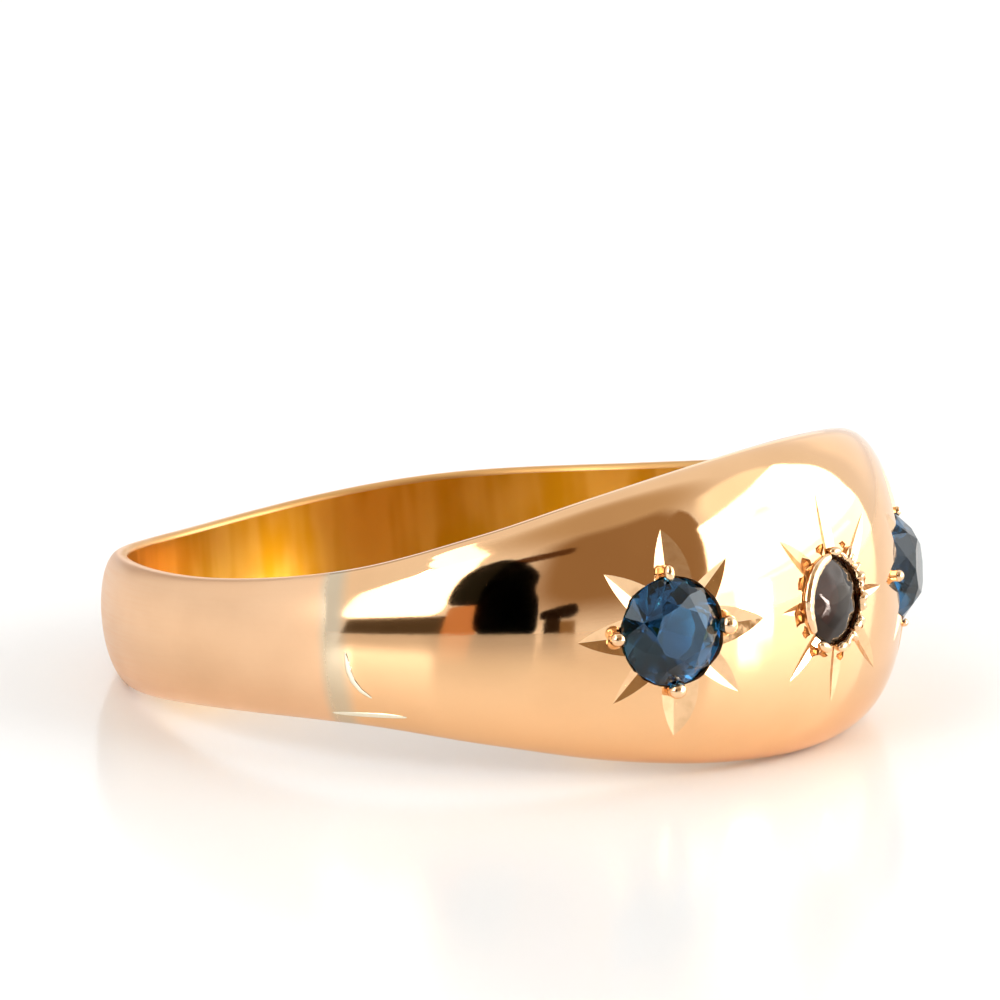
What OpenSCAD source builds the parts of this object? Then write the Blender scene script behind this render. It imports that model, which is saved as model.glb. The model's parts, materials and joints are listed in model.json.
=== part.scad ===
// Three stone gypsy ring lying on its side.
// A band with a wide domed head and a narrow thin shank carries two round
// sapphires and a round old cut diamond, each in the middle of a cut star.
//
// The ring is drawn round the Z axis with the middle of its head towards -Y,
// and is then tipped back to where it rests on Z = 0 by itself. Round the band,
// angles run from the middle of the head (0) to the middle of the back (180),
// and are positive towards +X.

/* [Finger hole] */
// Inside diameter of the band
finger_d = 17.2; // [15.6:0.1:20]

/* [Band] */
// Width of the band at the middle of the head
head_w = 7.46; // [7:0.02:8.4]
// Width of the band at the middle of the back
back_w = 2.4; // [2:0.02:3.2]
// Thickness of the domed head
head_t = 1.64; // [1.5:0.02:2]
// Thickness of the back of the shank
back_t = 0.70; // [0.5:0.02:1]
// Width of the flat rim between the finger hole and the dome
lip_w = 0.20; // [0.1:0.02:0.3]

/* [Stones] */
// Diameter of each sapphire
sapphire_d = 2.60; // [2.3:0.02:2.7]
// Diameter of the diamond
diamond_d = 2.10; // [1.8:0.02:2.3]
// Angle round the band between neighbouring stones
stone_pitch = 28; // [27:0.5:30]
// How far the stones lie below the middle of the band's width
stone_drop = 0.08; // [0:0.02:0.2]

/* [Stars] */
// Depth of a plain ray where it meets the seat
ray_depth = 0.18; // [0.1:0.02:0.22]
// Depth of a ray that ends at a grain
grain_ray_depth = 0.24; // [0.14:0.02:0.3]

/* [Hidden] */
$fn = 48;

finger_r = finger_d / 2;

// Sections round one half of the band, mirrored for the other half.
// angle: place round the band
// width: share of the way from the back's width to the head's
// thick: share of the way from the back's thickness to the head's
SECTIONS = [
    // angle, width, thick
    [0, 1, 1],
    [18, 0.936, 0.96],
    [36, 0.767, 0.74],
    [54, 0.518, 0.44],
    [75, 0.256, 0.22],
    [100, 0.144, 0.11],
    [135, 0.135, 0.04],
    [180, 0, 0],
];
WIDTH = 1;
THICK = 2;

section_count = 120;
dome_steps = 20;

// A star is a list of rays round one stone.
// angle: 0 runs along the band towards +X, 90 towards the upper rim
// reach: from the stone's centre to the ray's tip
// mouth: width of the ray where it meets the stone's seat
// grain: radius of the raised grain at the ray's mouth, 0 where there is none
SAPPHIRE_STAR = [
    // angle, reach, mouth, grain
    [0, 2.45, 0.74, 0.21],
    [45, 2.20, 0.50, 0],
    [90, 2.42, 0.72, 0.19],
    [135, 2.20, 0.52, 0],
    [180, 2.35, 0.72, 0.20],
    [225, 2.20, 0.50, 0],
    [270, 2.52, 0.74, 0.20],
    [315, 2.36, 0.52, 0],
];
DIAMOND_STAR = [
    // angle, reach, mouth, grain
    [0, 2.20, 0.40, 0.17],
    [45, 2.60, 0.44, 0.19],
    [90, 2.60, 0.44, 0.18],
    [135, 2.40, 0.46, 0.19],
    [180, 1.90, 0.42, 0.18],
    [225, 2.30, 0.40, 0.18],
    [270, 2.40, 0.42, 0.16],
    [315, 2.70, 0.42, 0.17],
];
REACH = 1;
MOUTH = 2;
GRAIN = 3;

// Heights of a stone, counted from its girdle, and its other proportions.
// crown, pavilion: heights above and below the girdle, as shares of the diameter
// table, culet: their widths, as shares of the diameter
// star: how far the star facets reach from the table towards the girdle
// sink: depth of the girdle below the dome
SAPPHIRE_CUT = [
    ["crown", 0.20],
    ["pavilion", 0.40],
    ["table", 0.50],
    ["culet", 0.04],
    ["star", 0.45],
    ["sink", 0.15],
];
DIAMOND_CUT = [
    ["crown", 0.21],
    ["pavilion", 0.42],
    ["table", 0.44],
    ["culet", 0.10],
    ["star", 0.50],
    ["sink", 0.13],
];

girdle_h = 0.06;
pavilion_reach = 0.5; // where the lower girdle facets meet, as a share of the radius
stone_gap = 0.02; // between a stone and the gold
grain_offset = 0.11; // from the stone's edge out to the middle of a grain
grain_rise = 0.4; // height of a grain's middle over the dome, as a share of its radius
grain_stem = 0.8; // radius of the metal under a grain, as a share of the grain's
grain_root = 0.6; // depth of that metal
ray_start = 0.15; // how far a ray's cutter starts inside the stone's edge
core_inset = 0.5; // how far the plain loft is filled inside the finger hole
clear_h = 1.2; // height that the cutters reach over the dome
drill_h = 3; // depth that the hole behind a stone reaches under the dome

// A value from a table of pairs
function part_of(cut, name) = cut[search([name], cut)[0]][1];

// Smooth curve through one column of a table, flat at both of its ends
function slope_at(t, i, c) =
    (i == 0 || i == len(t) - 1) ? 0 : (t[i + 1][c] - t[i - 1][c]) / (t[i + 1][0] - t[i - 1][0]);
function row_at(t, a, i = 0) = (i >= len(t) - 2 || a < t[i + 1][0]) ? i : row_at(t, a, i + 1);
function curve(t, a, c) =
    let (
        i = row_at(t, a),
        w = t[i + 1][0] - t[i][0],
        x = (a - t[i][0]) / w,
        x2 = x * x,
        x3 = x2 * x
    )
    (2 * x3 - 3 * x2 + 1) * t[i][c] + (x3 - 2 * x2 + x) * w * slope_at(t, i, c)
    + (3 * x2 - 2 * x3) * t[i + 1][c] + (x3 - x2) * w * slope_at(t, i + 1, c);

// Angle round the band, folded onto 0 to 180
function folded(a) = let (b = abs(a) % 360) b > 180 ? 360 - b : b;
function half_w(a) = (back_w + (head_w - back_w) * curve(SECTIONS, folded(a), WIDTH)) / 2;
function thick(a) = back_t + (head_t - back_t) * curve(SECTIONS, folded(a), THICK);

// Radius of the domed outside at an angle and a height; its section is half an ellipse
function dome_r(a, z) =
    finger_r + lip_w + (thick(a) - lip_w) * sqrt(max(0, 1 - pow(z / half_w(a), 2)));

// Height of the dome over a stone's place, u along the band and v across it
function dome_over(a, u, v) =
    let (
        z = v - stone_drop,
        r = dome_r(a + asin(u / dome_r(a, z)), z)
    )
    sqrt(r * r - u * u) - dome_r(a, -stone_drop);

// The ring rests on the lower rim of its head and on two places of its shank
rest_slope = min([
    for (a = [90:3:180])
        for (q = [60:3:90])
            let (
                r = finger_r + lip_w + (thick(a) - lip_w) * cos(q),
                d = half_w(a) * sin(q)
            )
            (half_w(0) - d) / (finger_r - r * cos(a))
]);
tilt = atan(rest_slope);
rest_h = half_w(0) * cos(tilt) - finger_r * sin(tilt);

// Middle of the ring's length, so that the origin lies under the middle of the whole
front_y = dome_r(0, 0) + diamond_d * part_of(DIAMOND_CUT, "crown") - part_of(DIAMOND_CUT, "sink");
back_y = dome_r(180, 0);
shift_y = (front_y - back_y) / 2 * cos(tilt);

module resting() {
    translate([0, shift_y, rest_h]) rotate([-tilt, 0, 0]) children();
}

// Stands a stone's own frame on the dome: X along the band, Y across it, Z outwards
module on_dome(a) {
    rotate([0, 0, a]) translate([0, -dome_r(a, -stone_drop), -stone_drop]) rotate([90, 0, 0]) children();
}

// Solid loft through the sections, filled to inside the finger hole
module band_loft() {
    core_r = finger_r - core_inset;
    rows = dome_steps + 3;
    points = [
        for (i = [0:section_count - 1])
            let (a = i * 360 / section_count, w = half_w(a), t = thick(a))
            for (j = [0:rows - 1])
                let (
                    q = 90 - 180 * (j - 1) / dome_steps,
                    inner = j == 0 || j == rows - 1,
                    r = inner ? core_r : finger_r + lip_w + (t - lip_w) * cos(q),
                    z = inner ? (j == 0 ? w : -w) : w * sin(q)
                )
                [r * sin(a), -r * cos(a), z]
    ];
    faces = [
        for (i = [0:section_count - 1])
            for (j = [0:rows - 1])
                let (
                    n = (i + 1) % section_count,
                    k = (j + 1) % rows,
                    p = i * rows + j,
                    q = n * rows + j,
                    r = n * rows + k,
                    s = i * rows + k
                )
                each [[p, q, r], [p, r, s]]
    ];
    polyhedron(points, faces, convexity = 4);
}

// Cutter for one V shaped ray, running out from the seat to a point on the dome
module ray_cutter(a, ray, stone_r) {
    u = cos(ray[0]);
    v = sin(ray[0]);
    tip = ray[REACH];
    depth = ray[GRAIN] > 0 ? grain_ray_depth : ray_depth;
    spread = ray[MOUTH] / 2 / depth;
    tip_z = dome_over(a, tip * u, tip * v);
    mouth_z = dome_over(a, stone_r * u, stone_r * v) - depth;
    start = stone_r - ray_start;
    start_z = mouth_z - ray_start * (tip_z - mouth_z) / (tip - stone_r);
    top = tip_z + clear_h;
    start_w = (top - start_z) * spread;
    tip_w = (top - tip_z) * spread;
    rotate([0, 0, ray[0]]) polyhedron(
        [
            [start, 0, start_z], [start, -start_w, top], [start, start_w, top],
            [tip, 0, tip_z], [tip, -tip_w, top], [tip, tip_w, top]
        ],
        [[0, 1, 2], [3, 5, 4], [0, 3, 4, 1], [1, 4, 5, 2], [2, 5, 3, 0]]
    );
}

// Raised grain of gold that holds the stone's edge, with the metal under it
module grain(a, ray, stone_r) {
    x = stone_r + grain_offset;
    z = dome_over(a, x * cos(ray[0]), x * sin(ray[0])) + ray[GRAIN] * grain_rise;
    rotate([0, 0, ray[0]]) translate([x, 0, z]) {
        sphere(r = ray[GRAIN]);
        translate([0, 0, -grain_root]) cylinder(r = ray[GRAIN] * grain_stem, h = grain_root);
    }
}

// Rings of corners of a brilliant cut, from its table down to its culet.
// radius, height over the dome, number of corners, angle of the first
function cut_rings(d, cut) =
    let (
        r = d / 2,
        crown = d * part_of(cut, "crown"),
        pavilion = d * part_of(cut, "pavilion"),
        sink = part_of(cut, "sink"),
        table_r = r * part_of(cut, "table"),
        culet_r = r * part_of(cut, "culet"),
        star_r = table_r + (r - table_r) * part_of(cut, "star"),
        low_r = r * pavilion_reach,
        half = cos(22.5),
        // heights that keep each main facet flat
        star_z = crown * (r - star_r * half) / (r - table_r),
        low_z = -girdle_h - pavilion * (r - low_r * half) / (r - culet_r * half)
    )
    [
        [table_r, crown - sink, 8, 0],
        [star_r, star_z - sink, 8, 22.5],
        [r, -sink, 16, 0],
        [r, -girdle_h - sink, 16, 0],
        [low_r, low_z - sink, 8, 22.5],
        [culet_r, -girdle_h - pavilion - sink, 8, 22.5],
    ];

// Room for the stone, from the drilled hole behind it to above its table
module stone_room(d, cut) {
    rings = cut_rings(d, cut);
    drill_r = rings[4][0] + stone_gap;
    mouth_r = rings[0][0] + stone_gap;
    rotate_extrude() polygon([
        [0, -drill_h],
        [drill_r, -drill_h],
        for (i = [4, 3]) [rings[i][0] + stone_gap, rings[i][1] - stone_gap],
        for (i = [2, 1, 0]) [rings[i][0] + stone_gap, rings[i][1] + stone_gap],
        [mouth_r, clear_h],
        [0, clear_h],
    ]);
}

// Straight walled mouth of the seat, cut before the grains are raised
module seat_mouth(d, cut) {
    low = -part_of(cut, "sink") - girdle_h;
    translate([0, 0, low]) cylinder(r = d / 2 + stone_gap, h = clear_h - low);
}

// Everything that one stone's setting takes from the plain loft
module setting_cut(a, d, cut, star) {
    on_dome(a) {
        seat_mouth(d, cut);
        for (ray = star) ray_cutter(a, ray, d / 2);
    }
}

module setting_grains(a, d, star) {
    on_dome(a) for (ray = star) if (ray[GRAIN] > 0) grain(a, ray, d / 2);
}

// Brilliant cut: table, 8 star, 8 main and 16 girdle facets above the girdle,
// 8 main and 16 girdle facets and a culet below it
module brilliant(d, cut) {
    points = [
        for (g = cut_rings(d, cut))
            for (i = [0:g[2] - 1])
                let (a = g[3] + i * 360 / g[2])
                [g[0] * cos(a), g[0] * sin(a), g[1]]
    ];
    // first corner of each ring
    t = 0;
    s = 8;
    g = 16;
    h = 32;
    l = 48;
    c = 56;
    faces = [
        [for (i = [7:-1:0]) t + i],
        for (i = [0:7])
            let (n = (i + 1) % 8, b = (i + 7) % 8, e = 2 * i, m = 2 * i + 1, f = (2 * i + 2) % 16)
            each [
                [t + i, t + n, s + i],
                [t + i, s + i, g + e, s + b],
                [s + i, g + m, g + e],
                [s + i, g + f, g + m],
                [g + e, g + m, h + m, h + e],
                [g + m, g + f, h + f, h + m],
                [h + e, h + m, l + i],
                [h + m, h + f, l + i],
                [h + e, l + i, c + i, c + b, l + b],
            ],
        [for (i = [0:7]) c + i],
    ];
    polyhedron(points, faces);
}

module band() {
    color("#dca263") resting() difference() {
        union() {
            difference() {
                band_loft();
                cylinder(r = finger_r, h = head_w * 2, center = true, $fn = 240);
                setting_cut(-stone_pitch, sapphire_d, SAPPHIRE_CUT, SAPPHIRE_STAR);
                setting_cut(0, diamond_d, DIAMOND_CUT, DIAMOND_STAR);
                setting_cut(stone_pitch, sapphire_d, SAPPHIRE_CUT, SAPPHIRE_STAR);
            }
            setting_grains(-stone_pitch, sapphire_d, SAPPHIRE_STAR);
            setting_grains(0, diamond_d, DIAMOND_STAR);
            setting_grains(stone_pitch, sapphire_d, SAPPHIRE_STAR);
        }
        on_dome(-stone_pitch) stone_room(sapphire_d, SAPPHIRE_CUT);
        on_dome(0) stone_room(diamond_d, DIAMOND_CUT);
        on_dome(stone_pitch) stone_room(sapphire_d, SAPPHIRE_CUT);
    }
}

module sapphire_left() {
    color("#1f4a78") resting() on_dome(-stone_pitch) brilliant(sapphire_d, SAPPHIRE_CUT);
}

module diamond() {
    color("#8d8693") resting() on_dome(0) brilliant(diamond_d, DIAMOND_CUT);
}

module sapphire_right() {
    color("#1f4a78") resting() on_dome(stone_pitch) brilliant(sapphire_d, SAPPHIRE_CUT);
}

band();
sapphire_left();
diamond();
sapphire_right();
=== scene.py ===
import json
import math

import bmesh
import bpy
import numpy as np
from mathutils import Matrix, Vector
from mathutils.kdtree import KDTree

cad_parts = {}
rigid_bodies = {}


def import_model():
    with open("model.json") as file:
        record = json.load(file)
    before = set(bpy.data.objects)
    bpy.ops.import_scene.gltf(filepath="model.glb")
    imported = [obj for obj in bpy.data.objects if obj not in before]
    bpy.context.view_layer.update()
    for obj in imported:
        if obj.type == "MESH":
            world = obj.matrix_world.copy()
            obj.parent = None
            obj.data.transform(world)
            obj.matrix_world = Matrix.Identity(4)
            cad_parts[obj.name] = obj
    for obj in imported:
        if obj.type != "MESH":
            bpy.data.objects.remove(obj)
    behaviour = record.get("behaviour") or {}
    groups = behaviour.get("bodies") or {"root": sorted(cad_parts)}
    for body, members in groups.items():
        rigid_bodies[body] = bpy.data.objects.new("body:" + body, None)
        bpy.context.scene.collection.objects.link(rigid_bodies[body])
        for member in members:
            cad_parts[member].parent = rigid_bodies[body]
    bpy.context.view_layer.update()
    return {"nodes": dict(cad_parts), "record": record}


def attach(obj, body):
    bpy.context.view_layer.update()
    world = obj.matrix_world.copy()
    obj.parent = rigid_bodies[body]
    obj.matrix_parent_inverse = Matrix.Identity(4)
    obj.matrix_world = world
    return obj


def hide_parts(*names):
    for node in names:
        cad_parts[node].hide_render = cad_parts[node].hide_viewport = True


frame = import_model()
print("frame loaded:", ", ".join(sorted(frame["nodes"])))

mm = 0.001  # shapes are worked out in millimetres and end up in metres

# the finger hole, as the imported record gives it
fingerHole = next(m for m in frame["record"]["mounts"] if m["kind"] == "bore")
tiltSin = fingerHole["axis"][1]
tiltCos = fingerHole["axis"][2]
ringToWorld = Matrix((
    (1, 0, 0, fingerHole["pos_m"][0] / mm),
    (0, tiltCos, tiltSin, fingerHole["pos_m"][1] / mm),
    (0, -tiltSin, tiltCos, fingerHole["pos_m"][2] / mm),
    (0, 0, 0, 1),
))

# camera at the photograph's angle, in degrees, millimetres and pixels
cameraSetup = {
    "azimuth": -54.45,
    "elevation": 13.34,
    "roll": 2.30,
    "distance": 425.0,
    "scale": 41.56,  # pixels for each millimetre at the ring
    "ringPixel": (488.05, 585.24),  # where the middle of the finger hole lands
    "pictureSide": 1000,
    "sensor": 36,
    "clip": (0.01, 20),  # metres
}


def makeCamera(setup):
    azimuth = math.radians(setup["azimuth"])
    elevation = math.radians(setup["elevation"])
    roll = math.radians(setup["roll"])
    back = Vector((math.sin(azimuth) * math.cos(elevation),
                   -math.cos(azimuth) * math.cos(elevation),
                   math.sin(elevation)))
    level = Vector((math.cos(azimuth), math.sin(azimuth), 0))
    steep = back.cross(level)
    right = math.cos(roll) * level + math.sin(roll) * steep
    up = -math.sin(roll) * level + math.cos(roll) * steep
    half = setup["pictureSide"] / 2
    ringMiddle = Vector(fingerHole["pos_m"])
    aim = ringMiddle + right * ((half - setup["ringPixel"][0]) / setup["scale"] * mm)
    aim += up * ((setup["ringPixel"][1] - half) / setup["scale"] * mm)
    place = ringMiddle + back * (setup["distance"] * mm)
    look = (place - aim).normalized()
    side = up.cross(look).normalized()
    top = look.cross(side)
    camera = bpy.data.objects.new("camera", bpy.data.cameras.new("camera"))
    camera.matrix_world = Matrix((
        (side.x, top.x, look.x, place.x),
        (side.y, top.y, look.y, place.y),
        (side.z, top.z, look.z, place.z),
        (0, 0, 0, 1),
    ))
    camera.data.sensor_width = setup["sensor"]
    camera.data.lens = setup["scale"] * setup["distance"] * setup["sensor"] / setup["pictureSide"]
    camera.data.clip_start, camera.data.clip_end = setup["clip"]
    bpy.context.scene.collection.objects.link(camera)
    bpy.context.scene.camera = camera


makeCamera(cameraSetup)
print("camera placed")

# the gold band: a wide domed head that runs into a thin narrow shank
bandForm = {
    "fingerRadius": fingerHole["dims"]["r_mm"],
    "headWidth": fingerHole["dims"]["length_mm"],
    "backWidth": 2.4,
    "headThick": 1.64,
    "backThick": 0.70,
    "lip": 0.20,  # flat rim between the finger hole and the dome
    "edge": 0.14,  # rounding of the finger hole's edge
    "rubbedShadedRim": 0.30,  # how far from the finger hole the rims are rubbed and painted darker as shade
    # angle from the middle of the head, share of the width, share of the thickness
    "sections": ((0, 1, 1), (18, 0.936, 0.96), (36, 0.767, 0.74), (54, 0.518, 0.44),
                 (75, 0.256, 0.22), (100, 0.144, 0.11), (135, 0.135, 0.04), (180, 0, 0)),
    "columns": 400,
    "domeRows": 72,
    "boreRows": 20,
    "edgeRows": 4,
}


def sectionShare(angles, column):
    table = np.array(bandForm["sections"], float)
    at, value = table[:, 0], table[:, column]
    slope = np.zeros(len(at))
    slope[1:-1] = (value[2:] - value[:-2]) / (at[2:] - at[:-2])
    folded = np.abs((np.asarray(angles, float) + 180) % 360 - 180)
    i = np.clip(np.searchsorted(at, folded, side="right") - 1, 0, len(at) - 2)
    wide = at[i + 1] - at[i]
    x = (folded - at[i]) / wide
    start = (2 * x**3 - 3 * x**2 + 1) * value[i] + (x**3 - 2 * x**2 + x) * wide * slope[i]
    return start + (3 * x**2 - 2 * x**3) * value[i + 1] + (x**3 - x**2) * wide * slope[i + 1]


def halfWidth(angles):
    form = bandForm
    return (form["backWidth"] + (form["headWidth"] - form["backWidth"]) * sectionShare(angles, 1)) / 2


def thickness(angles):
    form = bandForm
    return form["backThick"] + (form["headThick"] - form["backThick"]) * sectionShare(angles, 2)


def domeRadius(angles, heights):
    bulge = np.sqrt(np.maximum(0, 1 - (heights / halfWidth(angles))**2))
    return bandForm["fingerRadius"] + bandForm["lip"] + (thickness(angles) - bandForm["lip"]) * bulge


def bandNormals(points):
    # true normals of the band's plain surface, near points that lie on it
    form = bandForm
    x, y, z = points.T
    r = np.hypot(x, y)
    angles = np.degrees(np.arctan2(x, -y))
    wide, thick = halfWidth(angles), thickness(angles)
    step = 0.05
    wideSlope = (halfWidth(angles + step) - halfWidth(angles - step)) / math.radians(2 * step)
    thickSlope = (thickness(angles + step) - thickness(angles - step)) / math.radians(2 * step)
    rim = form["fingerRadius"] + form["lip"]
    side = np.where(z < 0, -1.0, 1.0)
    # dome: across and along the section's half ellipse
    q = np.arctan2(np.abs(z) / wide, np.maximum(r - rim, 0) / (thick - form["lip"]))
    acrossR, acrossZ = -(thick - form["lip"]) * np.sin(q), wide * np.cos(q)
    alongR, alongZ = thickSlope * np.cos(q), wideSlope * np.sin(q)
    normal = np.stack([acrossZ * r, alongR * -acrossZ + alongZ * acrossR, -acrossR * r], -1)
    normal[:, 2] *= side
    # finger hole and its rounded edge
    fillet = r < form["fingerRadius"] + form["edge"]
    middleR = form["fingerRadius"] + form["edge"]
    beyond = np.maximum(np.abs(z) - (wide - form["edge"]), 0)
    inner = np.stack([np.minimum(r - middleR, -1e-6), np.zeros_like(r), beyond * side], -1)
    normal[fillet] = inner[fillet]
    outward = np.stack([x / r, y / r, np.zeros_like(r)], -1)
    onward = np.stack([-y / r, x / r, np.zeros_like(r)], -1)
    full = normal[:, :1] * outward + normal[:, 1:2] * onward
    full[:, 2] = normal[:, 2]
    return full / np.linalg.norm(full, axis=1)[:, None]


workshop = bpy.data.collections.new("workshop")  # rough pieces, taken away at the end
bpy.context.scene.collection.children.link(workshop)
# the band's kinds of surface, each with a material of its own
goldFaces = {"dome": 0, "bore": 1, "ray": 2, "shadedRay": 3, "grain": 4, "highlightBead": 5, "pit": 6, "seat": 7}
roughGolds = [bpy.data.materials.new("rough " + name) for name in goldFaces]


def roughPiece(name, points, faces, kinds):
    mesh = bpy.data.meshes.new(name)
    mesh.from_pydata([tuple(p) for p in points], [], [tuple(f) for f in faces])
    for gold in roughGolds:
        mesh.materials.append(gold)
    mesh.polygons.foreach_set("material_index", np.broadcast_to(kinds, len(faces)).astype(np.int32))
    mesh.polygons.foreach_set("use_smooth", np.ones(len(faces), bool))
    mesh.update()
    piece = bpy.data.objects.new(name, mesh)
    workshop.objects.link(piece)
    return piece


def loftBand():
    form = bandForm
    rim = form["fingerRadius"] + form["lip"]
    rows = []  # each row's kind, and its shares of the section's thickness and half width
    for q in np.linspace(math.pi / 2, -math.pi / 2, form["domeRows"] + 1):
        rows.append(("dome", math.cos(q), math.sin(q)))
    for q in np.linspace(0, math.pi / 2, form["edgeRows"] + 1):
        rows.append(("edge", 1 - math.sin(q), -(1 - math.cos(q))))
    for share in np.linspace(-1, 1, form["boreRows"] + 1)[1:-1]:
        rows.append(("bore", 0, share))
    for q in np.linspace(math.pi / 2, 0, form["edgeRows"] + 1):
        rows.append(("edgeTop", 1 - math.sin(q), 1 - math.cos(q)))
    points = []
    for i in range(form["columns"]):
        angle = i * 360 / form["columns"]
        w, t = float(halfWidth(angle)), float(thickness(angle))
        sine, cosine = math.sin(math.radians(angle)), math.cos(math.radians(angle))
        for kind, a, b in rows:
            if kind == "dome":
                r, z = rim + (t - form["lip"]) * a, w * b
            elif kind == "edge":
                r, z = form["fingerRadius"] + form["edge"] * a, -w - form["edge"] * b
            elif kind == "edgeTop":
                r, z = form["fingerRadius"] + form["edge"] * a, w - form["edge"] * b
            else:
                r, z = form["fingerRadius"], (w - form["edge"]) * b
            points.append((r * sine, -r * cosine, z))
    count = len(rows)
    faces, kinds = [], []
    for i in range(form["columns"]):
        here, there = i * count, (i + 1) % form["columns"] * count
        for j in range(count):
            k = (j + 1) % count
            faces.append((here + k, there + k, there + j, here + j))
            inside = "bore" in (rows[j][0], rows[k][0])
            kinds.append(goldFaces["bore" if inside else "dome"])
    return roughPiece("bandRough", points, faces, kinds)


# the stones and their settings, in a frame on the dome: x along the band, y across it, z outwards
stonePitch = 28
stoneDrop = 0.08
sapphireSetting = {
    "diameter": 2.60, "crown": 0.20, "pavilion": 0.40, "table": 0.50, "culet": 0.04,
    "star": 0.45, "sink": 0.15,
    # direction, reach from the stone's middle, width at the stone, depth there
    "rays": ((0, 2.45, 0.98, 0.15), (45, 2.20, 0.62, 0.12), (90, 2.42, 0.98, 0.15),
             (135, 2.20, 0.72, 0.12), (180, 2.35, 0.92, 0.15), (225, 2.20, 0.56, 0.12),
             (270, 2.52, 0.98, 0.15), (315, 2.36, 0.64, 0.12)),
    # direction, distance from the stone's edge, radius, stretch outwards and sideways
    "grains": ((0, 0.11, 0.22, 1.00, 1.05), (90, 0.10, 0.16, 1.35, 0.85),
               (180, 0.10, 0.19, 1.10, 0.95), (270, 0.10, 0.21, 0.95, 1.10)),
    "pits": (),
    "rims": (),
    "darkWall": "ray",  # material of each ray's wall that faces away from the window; a darker one is painted shade
}
# the right sapphire's grains are rubbed down
rubbedSetting = dict(sapphireSetting, grains=(
    (0, 0.10, 0.14, 1.00, 1.05), (90, 0.05, 0.10, 1.20, 0.85),
    (180, 0.08, 0.15, 1.10, 1.00), (270, 0.05, 0.11, 0.95, 1.10)))
diamondSetting = {
    "diameter": 2.10, "crown": 0.21, "pavilion": 0.42, "table": 0.44, "culet": 0.10,
    "star": 0.50, "sink": 0.13,
    "rays": ((0, 2.20, 0.36, 0.08), (45, 2.60, 0.40, 0.08), (90, 2.62, 0.42, 0.09),
             (135, 2.40, 0.46, 0.08), (180, 1.95, 0.40, 0.08), (225, 2.35, 0.30, 0.05),
             (270, 2.45, 0.34, 0.06), (315, 2.75, 0.44, 0.09)),
    # worn grains, uneven and close together on the side away from the camera
    "grains": ((82, 0.12, 0.13, 0.9, 1.7), (56, 0.17, 0.13, 1.6, 0.7), (33, 0.15, 0.09, 1.8, 0.6),
               (306, 0.14, 0.11, 1.6, 0.8), (280, 0.10, 0.12, 1.0, 1.5), (243, 0.10, 0.14, 0.9, 1.7)),
    # direction, distance from the stone's edge, radius, stretch sideways: gouges left behind the grains
    "pits": ((106, 0.31, 0.14, 1.2), (66, 0.33, 0.09, 1.5), (134, 0.36, 0.21, 1.0), (153, 0.29, 0.14, 1.6),
             (186, 0.34, 0.20, 1.3), (206, 0.26, 0.12, 1.3), (229, 0.33, 0.15, 1.6), (246, 0.26, 0.09, 1.9),
             (276, 0.32, 0.11, 1.8), (322, 0.33, 0.09, 1.4), (14, 0.32, 0.08, 1.5)),
    # beads pressed over the edge: directions, distance from the stone's edge, radius, flatness
    "rims": ({"from": 92, "to": 216, "out": 0.01, "radius": 0.17, "flat": 0.80, "uneven": 0.03},
             {"from": -74, "to": 76, "out": 0.08, "radius": 0.11, "flat": 1.0, "uneven": 0.55}),
    # the diamond's ray walls that face away from the window are painted darker as shade
    "darkWall": "shadedRay",
}
settings = ((-stonePitch, sapphireSetting), (0, diamondSetting), (stonePitch, rubbedSetting))
# shared by the three settings
settingDepths = {
    "girdle": 0.06,
    "gap": 0.02,  # between a stone and the gold
    "clear": 1.2,  # how far the cutters stand out of the dome
    "drill": 3.0,  # how far the hole behind a stone reaches under the dome
    "pavilionReach": 0.5,  # where the lower facets meet, as a share of the stone's radius
    "rayStart": 0.15,  # how far a ray begins inside the stone's edge
}
# a grain's measures are shares of its radius, apart from the root
grainForm = {"rise": 0.2, "root": 0.5, "stem": 0.9, "shoulder": 0.4, "sides": 32}
pitForm = {"depth": 0.45, "mouth": 1.3, "clear": 0.3, "sides": 9, "uneven": 0.28}


def stoneFrame(angle):
    turn = Matrix.Rotation(math.radians(angle), 4, "Z")
    out = Matrix.Translation((0, -float(domeRadius(angle, -stoneDrop)), -stoneDrop))
    return turn @ out @ Matrix.Rotation(math.pi / 2, 4, "X")


def domeOver(angle, u, v):
    z = v - stoneDrop
    r = domeRadius(angle + np.degrees(np.arcsin(u / domeRadius(angle, z))), z)
    return float(np.sqrt(r * r - u * u) - domeRadius(angle, -stoneDrop))


def placed(points, matrix):
    rotation = np.array(matrix.to_3x3())
    return np.asarray(points, float) @ rotation.T + np.array(matrix.translation)


def rayCutter(angle, setting, ray):
    # v shaped wedge from inside the stone's edge out to a point on the dome
    direction, tip, mouth, depth = ray
    u, v = math.cos(math.radians(direction)), math.sin(math.radians(direction))
    edge = setting["diameter"] / 2
    start = edge - settingDepths["rayStart"]
    tipZ = domeOver(angle, tip * u, tip * v)
    mouthZ = domeOver(angle, edge * u, edge * v) - depth
    startZ = mouthZ - (edge - start) * (tipZ - mouthZ) / (tip - edge)
    top = tipZ + settingDepths["clear"]
    startWide = (top - startZ) * mouth / 2 / depth
    tipWide = (top - tipZ) * mouth / 2 / depth
    points = [(start, 0, startZ), (start, -startWide, top), (start, startWide, top),
              (tip, 0, tipZ), (tip, -tipWide, top), (tip, tipWide, top)]
    faces = [(0, 1, 2), (3, 5, 4), (0, 3, 4, 1), (1, 4, 5, 2), (2, 5, 3, 0)]
    kinds = [goldFaces["ray"]] * 5
    dark = 4 if direction < 180 else 2  # the wall that faces away from the window, which a setting may give painted shade
    kinds[dark] = goldFaces[setting["darkWall"]]
    spot = stoneFrame(angle) @ Matrix.Rotation(math.radians(direction), 4, "Z")
    return roughPiece("ray", placed(points, spot), faces, kinds)


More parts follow.
